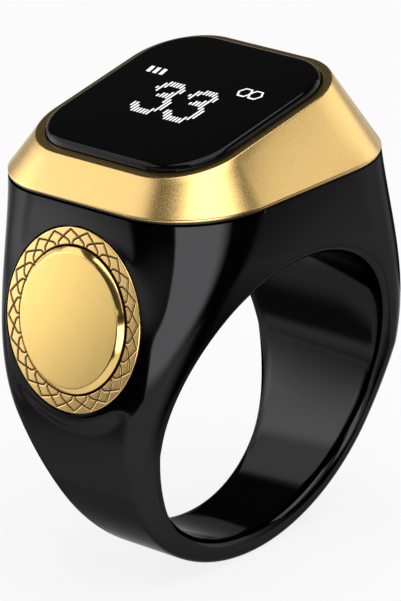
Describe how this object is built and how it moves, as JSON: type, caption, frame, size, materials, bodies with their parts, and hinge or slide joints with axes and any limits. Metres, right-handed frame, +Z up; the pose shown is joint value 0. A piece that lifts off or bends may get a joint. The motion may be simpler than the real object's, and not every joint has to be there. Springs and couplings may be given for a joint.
{
  "type": "digital tasbih counter ring",
  "caption": "Finger-ring prayer counter: black flared ring with a square head, tilted display in a sloping gold frame, and a round gold side button with an engraved ring.",
  "frame": {"origin": "on the axis of the finger hole, midway between its mouths", "axes": "+Y along the finger hole, +Z up to the display, the push-button on the -X flank"},
  "size_m": [0.0253, 0.0202, 0.0321],
  "materials": {
    "black_gloss": "high gloss black",
    "gold_satin": "satin gold anodised, fine bead blast",
    "gold_engraved": "pale gold with dark engraved lines",
    "gold_button": "satin gold face with a polished bevel",
    "lens_black": "black glass with a lit dot-matrix number",
    "seal_black": "matte black",
    "adhesive": "black bonding film",
    "clear_film": "clear film",
    "oled_glass": "dark glass",
    "ribbon_amber": "amber polyimide film",
    "carrier_black": "matte black moulding",
    "board_green": "green solder mask",
    "chip_black": "moulded package",
    "ceramic_white": "ceramic",
    "steel": "bare steel",
    "cell_silver": "pouch foil",
    "foam_grey": "soft foam",
    "contact_gold": "gold plated",
    "nickel": "nickel plated"
  },
  "bodies": {
    "ring": {"band_body": "black_gloss", "bezel": "gold_satin", "bezel_gasket": "seal_black", "display_lens": "lens_black", "lens_adhesive": "adhesive", "optical_adhesive": "clear_film", "oled_panel": "oled_glass", "oled_flex": "ribbon_amber", "display_carrier": "carrier_black", "carrier_screws": "steel", "main_board": "board_green", "radio_chip": "chip_black", "chip_antenna": "ceramic_white", "board_components": "chip_black", "battery_cell": "cell_silver", "battery_pad": "foam_grey", "battery_tabs": "nickel", "charge_contacts": "contact_gold", "contact_seals": "seal_black", "ornament_ring": "gold_engraved", "switch_case": "chip_black", "switch_dome": "steel", "switch_flex": "ribbon_amber", "switch_stiffener": "steel", "motor_can": "steel", "motor_base": "steel", "motor_shaft": "steel", "motor_magnet": "nickel"},
    "button": {"button_cap": "gold_button", "button_seal": "seal_black", "button_plunger": "carrier_black"},
    "switch_pip": {"switch_plunger": "ceramic_white"},
    "motor_weight": {"motor_rotor": "steel"}
  },
  "joints": [
    {"name": "button_press", "type": "slide", "parent": "ring", "child": "button", "axis": [0.974, 0, -0.2267], "range_m": [0, 0.00025], "stiffness_N_per_m": 500, "springref_m": -0.002},
    {"name": "switch_press", "type": "slide", "parent": "ring", "child": "switch_pip", "axis": [0.974, 0, -0.2267], "range_m": [0, 0.00025], "deforming": ["switch_dome"]},
    {"name": "motor_spin", "type": "hinge", "parent": "ring", "child": "motor_weight", "pos_m": [0.002, 0, 0.0156], "axis": [0, 0, 1], "continuous": true}
  ],
  "couplings": [
    {"joint": "switch_press", "follows": "button_press", "ratio": 1}
  ]
}
